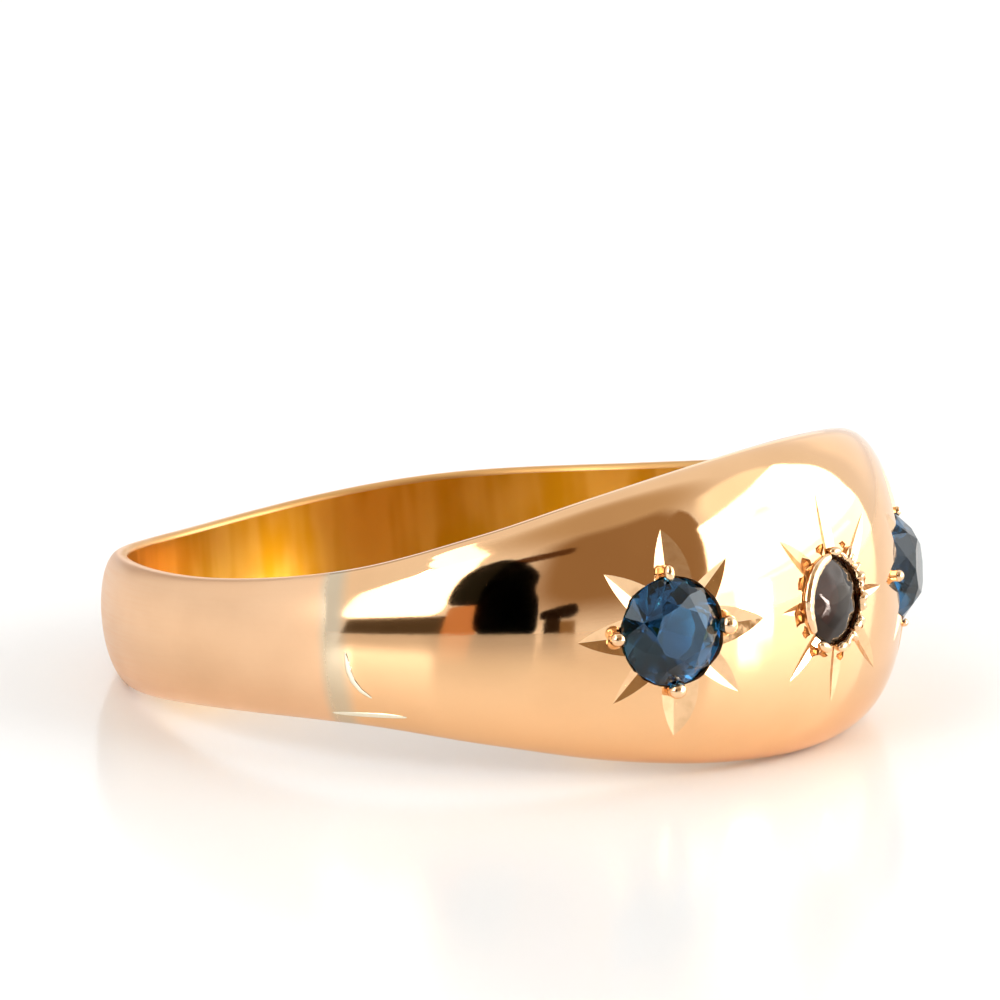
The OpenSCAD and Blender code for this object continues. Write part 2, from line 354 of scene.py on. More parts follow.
def lathe(name, profile, matrix, kind, sides=96, uneven=0.0):
    # closed profile of radius and height, its first and last point on the axis
    points = [(0, 0, profile[0][1])]
    for r, z in profile[1:-1]:
        for i in range(sides):
            a = 2 * math.pi * (i + 0.37) / sides  # turned a little, so no corner lies on a ray's middle
            wide = r * (1 + uneven * math.sin(2.4 * i + 5 * matrix.translation.x))
            points.append((wide * math.cos(a), wide * math.sin(a), z))
    points.append((0, 0, profile[-1][1]))
    last = len(points) - 1
    faces = []
    for i in range(sides):
        n = (i + 1) % sides
        faces.append((0, 1 + n, 1 + i))
        for ring in range(len(profile) - 3):
            low, high = 1 + ring * sides, 1 + (ring + 1) * sides
            faces.append((low + i, low + n, high + n, high + i))
        faces.append((last, last - sides + i, last - sides + n))
    return roughPiece(name, placed(points, matrix), faces, kind)


def cutRings(setting):
    # radius and height of a stone's rings: table, star, both sides of the girdle, lower facets
    d = setting["diameter"]
    r = d / 2
    table, culet = r * setting["table"], r * setting["culet"]
    star = table + (r - table) * setting["star"]
    low = r * settingDepths["pavilionReach"]
    half = math.cos(math.radians(22.5))  # from an eight sided ring's corner to the middle of its side
    sink, girdle = setting["sink"], settingDepths["girdle"]
    starZ = d * setting["crown"] * (r - star * half) / (r - table)
    lowZ = -girdle - d * setting["pavilion"] * (r - low * half) / (r - culet * half)
    return ((table, d * setting["crown"] - sink), (star, starZ - sink), (r, -sink),
            (r, -girdle - sink), (low, lowZ - sink))


def stoneRoom(angle, setting):
    # the stone's own space, which trims the grains and beads that are raised over its edge
    table, star, girdle, under, low = cutRings(setting)
    gap, drill, clear = settingDepths["gap"], settingDepths["drill"], settingDepths["clear"]
    profile = [(0, -drill), (low[0] + gap, -drill)]
    profile += [(r + gap, z - gap) for r, z in (low, under)]
    profile += [(r + gap, z + gap) for r, z in (girdle, star, table)]
    profile += [(table[0] + gap, clear), (0, clear)]
    return lathe("room", profile, stoneFrame(angle), goldFaces["seat"])


def seatCutter(angle, setting):
    # from the drilled hole up past the girdle and straight out
    *_, under, low = cutRings(setting)
    gap, drill, clear = settingDepths["gap"], settingDepths["drill"], settingDepths["clear"]
    profile = [(0, -drill), (low[0] + gap, -drill), (low[0] + gap, low[1] - gap),
               (under[0] + gap, under[1] - gap), (under[0] + gap, clear), (0, clear)]
    return lathe("seat", profile, stoneFrame(angle), goldFaces["seat"])


def grainBall(angle, setting, grain):
    # raised grain with the metal under it, as one round ended peg
    direction, out, radius, radial, sideways = grain
    x = setting["diameter"] / 2 + out
    u, v = math.cos(math.radians(direction)), math.sin(math.radians(direction))
    z = domeOver(angle, x * u, x * v) + radius * grainForm["rise"]
    root, stem = grainForm["root"], radius * grainForm["stem"]
    profile = [(0, z - root), (stem, z - root), (stem, z - radius * grainForm["shoulder"])]
    for q in np.radians(np.arange(-20, 90, 10)):
        profile.append((radius * math.cos(q), z + radius * math.sin(q)))
    profile.append((0, z + radius))
    spot = stoneFrame(angle) @ Matrix.Rotation(math.radians(direction), 4, "Z")
    spot = spot @ Matrix.Translation((x, 0, 0)) @ Matrix.Diagonal((radial, sideways, 1, 1))
    return lathe("grain", profile, spot, goldFaces["grain"], sides=grainForm["sides"])


def gougePit(angle, setting, pit):
    # rough gouge with a few flat sides, sunk into the dome
    direction, out, radius, sideways = pit
    x = setting["diameter"] / 2 + out
    u, v = math.cos(math.radians(direction)), math.sin(math.radians(direction))
    z = domeOver(angle, x * u, x * v)
    deep = radius * pitForm["depth"]
    profile = [(0, z - deep)]
    for q in np.radians((-70, -35, 0)):
        profile.append((radius * math.cos(q), z + deep * math.sin(q)))
    profile += [(radius * pitForm["mouth"], z + pitForm["clear"]), (0, z + pitForm["clear"])]
    spot = stoneFrame(angle) @ Matrix.Rotation(math.radians(direction), 4, "Z")
    spot = spot @ Matrix.Translation((x, 0, 0)) @ Matrix.Diagonal((1, sideways, 1, 1))
    return lathe("pit", profile, spot, goldFaces["pit"], pitForm["sides"], pitForm["uneven"])


def sweep(name, rings, matrix, kind):
    # skin over closed rings of points, one after the other
    sides, last = len(rings[0]), len(rings) - 1
    faces = []
    for k in range(last):
        for i in range(sides):
            n = (i + 1) % sides
            here, there = k * sides, (k + 1) * sides
            faces.append((here + i, there + i, there + n, here + n))
    faces.append(tuple(range(sides)))
    faces.append(tuple(last * sides + i for i in reversed(range(sides))))
    return roughPiece(name, placed([p for ring in rings for p in ring], matrix), faces, goldFaces[kind])


# the pressed beads: turns are radians from one station to the next
rimForm = {
    "stations": 60,
    "sway": 0.06,  # millimetres outwards and back
    "swayTurn": 0.9,
    "ends": 0.35,  # share of the radius that is left at both ends
    "blunt": 0.4,  # a smaller number gives blunter ends
    "swells": ((0.7, 0.53), (0.5, 1.17)),  # share and turn
    "rise": 0.15,  # share of the radius that the bead stands out of the dome
}


def raisedRim(angle, setting, rim):
    # uneven bead of metal pressed over the stone's edge
    form = rimForm
    rings = []
    for k in range(form["stations"] + 1):
        share = k / form["stations"]
        q = math.radians(rim["from"] + (rim["to"] - rim["from"]) * share)
        x = setting["diameter"] / 2 + rim["out"]
        x += rim["uneven"] * form["sway"] * math.sin(k * form["swayTurn"])
        full = math.sin(math.pi * share)**form["blunt"]
        radius = rim["radius"] * (form["ends"] + (1 - form["ends"]) * full)
        radius *= 1 + rim["uneven"] * sum(swell * math.sin(k * turn) for swell, turn in form["swells"])
        z = domeOver(angle, x * math.cos(q), x * math.sin(q)) + radius * form["rise"]
        ring = []
        for a in np.radians(np.arange(0, 360, 30)):
            r = x + radius * math.cos(a)
            ring.append((r * math.cos(q), r * math.sin(q), z + radius * rim["flat"] * math.sin(a)))
        rings.append(ring)
    return sweep("rim", rings, stoneFrame(angle), "grain")


# thin beads a hair proud of the dome, whose pale tone is a painted highlight: turn from the head's middle and
# height
highlightBeadForm = {
    "width": 0.075, "rise": 0.016, "stations": 40,
    "ends": 0.02,  # share of the taper that is left off at both ends
    "paths": (((-74.6, 0.00), (-74.5, -0.20), (-74.4, -0.44),
               (-73.95, -0.69), (-72.9, -0.94), (-71.4, -1.13)),
              ((-78.2, -1.50), (-75.4, -1.53), (-72.2, -1.56), (-69.0, -1.60), (-66.6, -1.64))),
}


def sweepHighlightBead(path):
    path = np.array(path)
    form = highlightBeadForm
    along = np.linspace(0, 1, form["stations"])
    turns = np.interp(along, np.linspace(0, 1, len(path)), path[:, 0])
    heights = np.interp(along, np.linspace(0, 1, len(path)), path[:, 1])
    r = domeRadius(turns, heights)
    spots = np.stack([r * np.sin(np.radians(turns)), -r * np.cos(np.radians(turns)), heights], -1)
    normals = bandNormals(spots)
    onward = np.gradient(spots, axis=0)
    sideways = np.cross(onward, normals)
    sideways /= np.linalg.norm(sideways, axis=1)[:, None]
    rings = []
    for share, spot, normal, side in zip(along, spots, normals, sideways):
        taper = math.sqrt(math.sin(math.pi * (form["ends"] + (1 - 2 * form["ends"]) * share)))
        ring = []
        for a in np.radians(np.arange(0, 360, 45)):
            reach = form["width"] * math.cos(a) * side + form["rise"] * math.sin(a) * normal
            ring.append(spot + taper * reach)
        rings.append(ring)
    return sweep("highlightBead", rings, Matrix(), "highlightBead")


def borrowNormals(pieces, points):
    # normals of the nearest rough corners, for faces that came from those pieces
    count = sum(len(p.data.vertices) for p in pieces)
    tree = KDTree(count)
    normals = []
    for piece in pieces:
        for vertex in piece.data.vertices:
            tree.insert(vertex.co, len(normals))
            normals.append(vertex.normal[:])
    tree.balance()
    return np.array(normals)[[tree.find(p)[1] for p in points]]


def carve(piece, tools):
    for tool in tools:
        step = piece.modifiers.new("cut", "BOOLEAN")
        step.operation = "DIFFERENCE"
        step.solver = "EXACT"
        step.material_mode = "INDEX"
        step.object = tool
    bpy.context.view_layer.update()
    shaped = piece.evaluated_get(bpy.context.evaluated_depsgraph_get())
    mesh = bpy.data.meshes.new_from_object(shaped)
    piece.modifiers.clear()
    piece.data = mesh


def shadeBand(piece, grains, highlightBead):
    # true normals on the plain and raised gold, flat ones in the cuts
    mesh = piece.data
    points = np.zeros(len(mesh.vertices) * 3)
    mesh.vertices.foreach_get("co", points)
    points = points.reshape(-1, 3)
    corners = np.zeros(len(mesh.loops), np.int32)
    mesh.loops.foreach_get("vertex_index", corners)
    kinds = np.zeros(len(mesh.polygons), np.int32)
    mesh.polygons.foreach_get("material_index", kinds)
    sizes = np.zeros(len(mesh.polygons), np.int32)
    mesh.polygons.foreach_get("loop_total", sizes)
    flat = np.zeros(len(mesh.polygons) * 3)
    mesh.polygons.foreach_get("normal", flat)
    normals = np.repeat(flat.reshape(-1, 3), sizes, axis=0)
    kinds = np.repeat(kinds, sizes)
    places = points[corners]
    plain = (kinds == goldFaces["dome"]) | (kinds == goldFaces["bore"])
    normals[plain] = bandNormals(places[plain])
    for kind, pieces in (("grain", grains), ("highlightBead", highlightBead)):
        round_ = kinds == goldFaces[kind]
        normals[round_] = borrowNormals(pieces, places[round_])
    # places on the ring that the materials follow, in millimetres and degrees
    place = mesh.attributes.new("ringPlace", "FLOAT_VECTOR", "POINT")
    place.data.foreach_set("vector", points.astype(np.float32).ravel())
    turned = mesh.attributes.new("headTurn", "FLOAT", "POINT")
    turns = np.abs(np.degrees(np.arctan2(points[:, 0], -points[:, 1])))
    turned.data.foreach_set("value", turns.astype(np.float32))
    # nearness to the finger hole: sets the rims' rubbed roughness and their painted shade
    rubbed = mesh.attributes.new("rimWearAndShade", "FLOAT", "POINT")
    fromRim = np.hypot(points[:, 0], points[:, 1]) - bandForm["fingerRadius"]
    rubbed.data.foreach_set("value", np.clip(1 - fromRim / bandForm["rubbedShadedRim"], 0, 1).astype(np.float32))
    mesh.polygons.foreach_set("use_smooth", np.ones(len(mesh.polygons), bool))
    mesh.normals_split_custom_set(normals)
    mesh.update()


def trimmedCopy(piece, room):
    trimmed = piece.copy()
    trimmed.data = piece.data.copy()
    workshop.objects.link(trimmed)
    carve(trimmed, [room])
    return trimmed


def joinPieces(piece, others):
    joined = bmesh.new()
    for part in (piece, *others):
        joined.from_mesh(part.data)
    joined.to_mesh(piece.data)
    joined.free()


def makeBand():
    band = loftBand()
    cutters, pits, grains, trimmed = [], [], [], []
    for angle, setting in settings:
        room = stoneRoom(angle, setting)
        cutters.append(seatCutter(angle, setting))
        cutters += [rayCutter(angle, setting, ray) for ray in setting["rays"]]
        pits += [gougePit(angle, setting, pit) for pit in setting["pits"]]
        raised = [grainBall(angle, setting, grain) for grain in setting["grains"]]
        raised += [raisedRim(angle, setting, rim) for rim in setting["rims"]]
        trimmed += [trimmedCopy(piece, room) for piece in raised]
        grains += raised
    carve(band, cutters + pits)
    highlightBead = [sweepHighlightBead(path) for path in highlightBeadForm["paths"]]
    joinPieces(band, trimmed + highlightBead)
    shadeBand(band, grains, highlightBead)
    return band


bandGold = makeBand()
print("band carved:", len(bandGold.data.polygons), "faces")


# golds, as shares of red, green and blue light that they give back
goldTones = {
    "polished": (0.94, 0.57, 0.30),
    "shank": (0.93, 0.585, 0.345),  # brushed, a little pinker
    "seam": (0.62, 0.56, 0.42),  # pale solder joint where the shank was sized
    "seamTurns": (73.4, 76.2, 77.2, 79.6),  # degrees from the head's middle, on one side only
    "seamShare": 0.75,
    "brushedFrom": (76.8, 78.2),  # degrees where the brushing begins and is full
    # darker orange brown at the finger hole's rims: painted shade
    "rim": (0.72, 0.39, 0.12),
    # the inside's deep orange, darker in streaks and blotches, is painted shade and painted reflections of
    # the ring's own gold
    "inside": (0.78, 0.405, 0.058),
    "insideShadeDark": (0.62, 0.280, 0.006),
    "cut": (0.95, 0.63, 0.36),
    "wornCut": (0.50, 0.24, 0.08),  # painted shade on the diamond's ray walls that face away from the window
    "grain": (0.96, 0.66, 0.40),
    # pale cream on the raised beads: painted highlight
    "highlightBead": (0.98, 0.92, 0.74),
    # dark red brown: painted shade in the gouges; also the tone that random dirt and wear darken towards
    "pit": (0.38, 0.135, 0.032),
    # deeper orange in the seats round the stones: painted shade in the recess
    "seat": (0.90, 0.40, 0.17),
}
# marks in the gold: waves for each millimetre along x, y and z of the ring
goldMarks = {
    "brushing": (0.5, 0.5, 17.0),
    "fineLines": (9.0, 9.0, 11.0),
    "wear": (0.45, 0.45, 0.6),
    # streaks and blotches of painted shade inside the finger hole; the blotches also set its roughness
    "shadeStreaks": (1.1, 1.1, 0.10),
    "shadeAndRoughBlotches": (0.5, 0.5, 0.35),
    "insideLines": (14.0, 14.0, 2.0),
    "tool": (4.0, 4.0, 4.0),
    "dirt": (2.2, 2.2, 2.2),
}
# roughness from the least to the most marked places
goldRough = {
    "polished": (0.045, 0.075),
    "brushed": (0.24, 0.30),  # added on the shank
    "rim": 0.10,  # added where the rims are rubbed
    "inside": (0.29, 0.36),
    "tool": (0.7, 1.5),  # shares of the cut's own roughness
}
goldRelief = {"outside": 0.0006, "inside": 0.0004, "tool": 0.0006}  # depth of the marks in millimetres


def newLook(name, metal):
    material = bpy.data.materials.new(name)
    material.use_nodes = True
    shader = material.node_tree.nodes["Principled BSDF"]
    shader.inputs["Metallic"].default_value = metal
    return material, material.node_tree, shader


def addNode(tree, kind, inputs=None, **options):
    node = tree.nodes.new(kind)
    for name, value in options.items():
        setattr(node, name, value)
    for socket, value in (inputs or {}).items():
        if isinstance(value, bpy.types.NodeSocket):
            tree.links.new(value, node.inputs[socket])
        else:
            node.inputs[socket].default_value = value
    return node


def addMath(tree, operation, first, second):
    return addNode(tree, "ShaderNodeMath", {0: first, 1: second}, operation=operation).outputs[0]


def addRange(tree, value, low, high, lowTo=0.0, highTo=1.0):
    ranged = addNode(tree, "ShaderNodeMapRange", {"Value": value, "From Min": low, "From Max": high,
                                                  "To Min": lowTo, "To Max": highTo},
                     interpolation_type="SMOOTHSTEP")
    return ranged.outputs["Result"]


def addMix(tree, share, first, second):
    mixed = addNode(tree, "ShaderNodeMix", data_type="RGBA")
    for socket, value in ((0, share), (6, first), (7, second)):
        if isinstance(value, bpy.types.NodeSocket):
            tree.links.new(value, mixed.inputs[socket])
        else:
            mixed.inputs[socket].default_value = value if socket == 0 else (*value, 1)
    return mixed.outputs[2]


def addNoise(tree, stretch, detail=2.0, low=0.35, high=0.65):
    place = addNode(tree, "ShaderNodeAttribute", attribute_name="ringPlace").outputs["Vector"]
    scaled = addNode(tree, "ShaderNodeVectorMath", {0: place, 1: stretch}, operation="MULTIPLY").outputs[0]
    noise = addNode(tree, "ShaderNodeTexNoise", {"Vector": scaled, "Scale": 1.0, "Detail": detail})
    return addRange(tree, noise.outputs[0], low, high)


def addBump(tree, shader, height, depth):
    bump = addNode(tree, "ShaderNodeBump", {"Height": height, "Distance": depth * mm})
    tree.links.new(bump.outputs[0], shader.inputs["Normal"])


def polishedGold():
    gold, tree, shader = newLook("goldPolished", 1)
    turn = addNode(tree, "ShaderNodeAttribute", attribute_name="headTurn").outputs["Fac"]
    rim = addNode(tree, "ShaderNodeAttribute", attribute_name="rimWearAndShade").outputs["Fac"]
    place = addNode(tree, "ShaderNodeAttribute", attribute_name="ringPlace").outputs["Vector"]
    side = addNode(tree, "ShaderNodeSeparateXYZ", {0: place}).outputs[0]
    brushed = addRange(tree, turn, *goldTones["brushedFrom"])
    lines = addNoise(tree, goldMarks["brushing"], 3.0)
    fine = addNoise(tree, goldMarks["fineLines"])
    wear = addNoise(tree, goldMarks["wear"], 4.0, 0.3, 0.7)
    # colour: polished head, pinker shank, pale joint, painted shade along the finger hole's rims, a little
    # random wear
    seamTurns = goldTones["seamTurns"]
    seam = addMath(tree, "MULTIPLY", addRange(tree, turn, seamTurns[0], seamTurns[1]),
                   addRange(tree, turn, seamTurns[2], seamTurns[3], 1.0, 0.0))
    seam = addMath(tree, "MULTIPLY", seam, addMath(tree, "LESS_THAN", side, 0.0))
    seam = addMath(tree, "MULTIPLY", seam, goldTones["seamShare"])
    colour = addMix(tree, brushed, goldTones["polished"], goldTones["shank"])
    colour = addMix(tree, seam, colour, goldTones["seam"])
    rubbed = addMath(tree, "MULTIPLY", rim, addRange(tree, wear, 0.0, 1.0, 0.4, 1.0))
    colour = addMix(tree, addRange(tree, rim, 0.25, 0.75, 0.0, 0.85), colour, goldTones["rim"])
    colour = addMix(tree, addMath(tree, "MULTIPLY", wear, 0.08), colour, goldTones["pit"])
    tree.links.new(colour, shader.inputs["Base Color"])
    # roughness: mirror on the head, soft on the shank, rubbed at the rims
    rough = addMath(tree, "MULTIPLY", brushed, addRange(tree, lines, 0.0, 1.0, *goldRough["brushed"]))
    rough = addMath(tree, "ADD", rough, addRange(tree, wear, 0.0, 1.0, *goldRough["polished"]))
    rough = addMath(tree, "ADD", rough, addMath(tree, "MULTIPLY", rubbed, goldRough["rim"]))
    tree.links.new(rough, shader.inputs["Roughness"])
    height = addMath(tree, "MULTIPLY", lines, addRange(tree, brushed, 0.0, 1.0, 0.06, 1.0))
    height = addMath(tree, "ADD", height, addMath(tree, "MULTIPLY", fine, 0.12))
    addBump(tree, shader, height, goldRelief["outside"])
    return gold


def insideGold():
    # painted shade and painted reflections: a deeper orange than the outside gold, darker in streaks and
    # blotches
    gold, tree, shader = newLook("goldInside", 1)
    shadeStreaks = addNoise(tree, goldMarks["shadeStreaks"], 2.0, 0.25, 0.75)
    shadeAndRoughBlotches = addNoise(tree, goldMarks["shadeAndRoughBlotches"], 2.0, 0.2, 0.8)
    fine = addNoise(tree, goldMarks["insideLines"])
    share = addRange(tree, addMath(tree, "ADD", shadeStreaks, shadeAndRoughBlotches), 0.6, 1.4)
    colour = addMix(tree, share, goldTones["inside"], goldTones["insideShadeDark"])
    tree.links.new(colour, shader.inputs["Base Color"])
    tree.links.new(addRange(tree, shadeAndRoughBlotches, 0.0, 1.0, *goldRough["inside"]), shader.inputs["Roughness"])
    addBump(tree, shader, fine, goldRelief["inside"])
    return gold


def toolGold(name, tone, roughness, wear):
    # cut, pressed or drilled gold with the marks of the tool
    gold, tree, shader = newLook(name, 1)
    marks = addNoise(tree, goldMarks["tool"], 2.0, 0.25, 0.75)
    dirt = addNoise(tree, goldMarks["dirt"], 3.0, 0.45, 0.75)
    tree.links.new(addMix(tree, addMath(tree, "MULTIPLY", dirt, wear), tone, goldTones["pit"]),
                   shader.inputs["Base Color"])
    least, most = goldRough["tool"]
    tree.links.new(addRange(tree, marks, 0.0, 1.0, roughness * least, roughness * most),
                   shader.inputs["Roughness"])
    addBump(tree, shader, marks, goldRelief["tool"])
    return gold


goldLooks = {
    "dome": polishedGold(),
    "bore": insideGold(),
    "ray": toolGold("goldCut", goldTones["cut"], 0.08, 0.25),
    "shadedRay": toolGold("goldShadedCut", goldTones["wornCut"], 0.42, 0.5),
    "grain": toolGold("goldGrain", goldTones["grain"], 0.12, 0.2),
    "highlightBead": toolGold("goldPaleHighlight", goldTones["highlightBead"], 0.10, 0.0),
    "pit": toolGold("goldPit", goldTones["pit"], 0.42, 0.5),
    "seat": toolGold("goldSeat", goldTones["seat"], 0.42, 0.6),
}


def finishBand(piece):
    mesh = piece.data
    mesh.transform(Matrix.Scale(mm, 4) @ ringToWorld)
    for i, kind in enumerate(goldFaces):
        mesh.materials[i] = goldLooks[kind]
    piece.name = "bandGold"
    workshop.objects.unlink(piece)
    bpy.context.scene.collection.objects.link(piece)
    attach(piece, "root")
    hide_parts("band")


finishBand(bandGold)
for rough in list(workshop.objects):
    bpy.data.objects.remove(rough)
bpy.data.collections.remove(workshop)
print("band finished")


# stones: how each one's body takes up light
gemTones = {
    "sapphireDeep": (0.004, 0.022, 0.060),
    "sapphireBright": (0.022, 0.16, 0.36),
    "sapphireRefraction": 1.6,
    # the diamond's dark body tint is painted shade, standing in for the dark things it reflects
    "diamondDark": (0.024, 0.012, 0.008),
    "diamondPale": (0.14, 0.085, 0.065),
    "diamondRefraction": 1.42,
    "zone": 0.55,  # colour zones for each millimetre
    "scratch": 9.0,  # fine scratches for each millimetre
    "rough": 0.03,
    "leftGloss": (0.62, 0.72, 0.82),
    "rightGloss": (0.26, 0.32, 0.38),  # a dimmer tint than the left sapphire's: painted shade on its facets
    # dims and warms the diamond's reflections: part of the same painted shade
    "diamondGloss": (0.86, 0.69, 0.60),
}


def gemLook(name, deep, bright, refraction, gloss):
    gem, tree, shader = newLook(name, 0)
    shader.inputs["Transmission Weight"].default_value = 1
    shader.inputs["IOR"].default_value = refraction
    shader.inputs["Specular Tint"].default_value = (*gloss, 1)
    place = addNode(tree, "ShaderNodeTexCoord").outputs["Object"]
    zones = addNode(tree, "ShaderNodeTexNoise",
                    {"Vector": place, "Scale": gemTones["zone"] / mm, "Detail": 1.0})
    tree.links.new(addMix(tree, addRange(tree, zones.outputs[0], 0.4, 0.6), deep, bright),
                   shader.inputs["Base Color"])
    scratches = addNode(tree, "ShaderNodeTexNoise",
                        {"Vector": place, "Scale": gemTones["scratch"] / mm, "Detail": 3.0})
    rough = gemTones["rough"]
    tree.links.new(addRange(tree, scratches.outputs[0], 0.4, 0.75, rough * 0.5, rough * 2),
                   shader.inputs["Roughness"])
    return gem


diamondLook = gemLook("diamondWorn", gemTones["diamondDark"], gemTones["diamondPale"],
                      gemTones["diamondRefraction"], gemTones["diamondGloss"])
# the right sapphire's dimmer specular tint is painted shade
for side in ("left", "right"):
    frame["nodes"]["sapphire_" + side].material_slots[0].material = gemLook(
        side + "Sapphire", gemTones["sapphireDeep"], gemTones["sapphireBright"],
        gemTones["sapphireRefraction"], gemTones[side + "Gloss"])

# the old cut diamond, its facets rounded by wear: radius, height and number of corners of each ring
wornCut = {
    "table": (0.42, 0.14), "star": (0.76, 0.035), "girdle": (1.045, -0.13), "under": (1.045, -0.19),
    "low": (0.56, -0.72), "culet": (0.12, -1.06),
    "tableMiddle": 0.165,  # the table is slightly domed
    "tableSlope": 0.05,  # and worn down on its upper side
    "crease": 0.40,  # 1 keeps an edge sharp, as at the girdle
    "rounding": 3,
}


def makeDiamond():
    cut = wornCut
    points = []
    first = {}
    for name, corners, turn in (("table", 8, 0), ("star", 8, 22.5), ("girdle", 16, 0),
                                ("under", 16, 0), ("low", 8, 22.5), ("culet", 8, 0)):
        first[name] = len(points)
        r, z = cut[name]
        for i in range(corners):
            a = math.radians(turn + 360 / corners * i)
            v = r * math.sin(a)
            points.append((r * math.cos(a), v, z - cut["tableSlope"] * v * (name == "table")))
    middle = len(points)
    points.append((0, 0, cut["tableMiddle"]))
    table, star, girdle, under, low, culet = first.values()
    faces = []
    for i in range(8):
        n, p = (i + 1) % 8, (i - 1) % 8
        g0, g1, g2 = 2 * i, 2 * i + 1, (2 * i + 2) % 16
        faces.append((middle, table + i, table + n))
        faces.append((table + i, star + i, table + n))
        faces.append((table + i, star + p, girdle + g0, star + i))
        faces.append((star + i, girdle + g0, girdle + g1))
        faces.append((star + i, girdle + g1, girdle + g2))
        faces.append((low + i, under + g1, under + g0))
        faces.append((low + i, under + g2, under + g1))
        faces.append((under + g0, low + p, culet + i, low + i))
        faces.append((low + i, culet + i, culet + n))
    for j in range(16):
        k = (j + 1) % 16
        faces.append((girdle + j, under + j, under + k, girdle + k))
    faces.append(tuple(culet + i for i in reversed(range(8))))
    mesh = bpy.data.meshes.new("diamondWorn")
    spots = placed(points, ringToWorld @ stoneFrame(0)) * mm
    mesh.from_pydata([tuple(p) for p in spots], [], faces)
    ends = np.zeros(len(mesh.edges) * 2, np.int32)
    mesh.edges.foreach_get("vertices", ends)
    round_ = ((ends >= girdle) & (ends < low)).reshape(-1, 2).all(axis=1)
    creases = mesh.attributes.new("crease_edge", "FLOAT", "EDGE")
    creases.data.foreach_set("value", np.where(round_, 1, cut["crease"]).astype(np.float32))
    mesh.polygons.foreach_set("use_smooth", np.ones(len(mesh.polygons), bool))
    mesh.materials.append(diamondLook)
    diamond = bpy.data.objects.new("diamondWorn", mesh)
    bpy.context.scene.collection.objects.link(diamond)
    rounding = diamond.modifiers.new("rounding", "SUBSURF")
    rounding.levels = rounding.render_levels = cut["rounding"]
    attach(diamond, "root")
    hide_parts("diamond")


makeDiamond()
print("stones dressed")


# pale sheet under the ring: half its width in metres, and its finish
floorSheet = {"half": 1.5, "tone": (0.90, 0.90, 0.90), "roughness": 0.16, "refraction": 1.22}


def makeFloor():
    mesh = bpy.data.meshes.new("floor")
    half = floorSheet["half"]
    corners = [(-half, -half, 0), (half, -half, 0), (half, half, 0), (-half, half, 0)]
    mesh.from_pydata(corners, [], [(0, 1, 2, 3)])
    floor = bpy.data.objects.new("floor", mesh)
    bpy.context.scene.collection.objects.link(floor)
    paper = bpy.data.materials.new("glossyWhite")
    paper.use_nodes = True
    shader = paper.node_tree.nodes["Principled BSDF"]
    shader.inputs["Base Color"].default_value = (*floorSheet["tone"], 1)
    shader.inputs["Roughness"].default_value = floorSheet["roughness"]
    shader.inputs["IOR"].default_value = floorSheet["refraction"]
    mesh.materials.append(paper)


makeFloor()


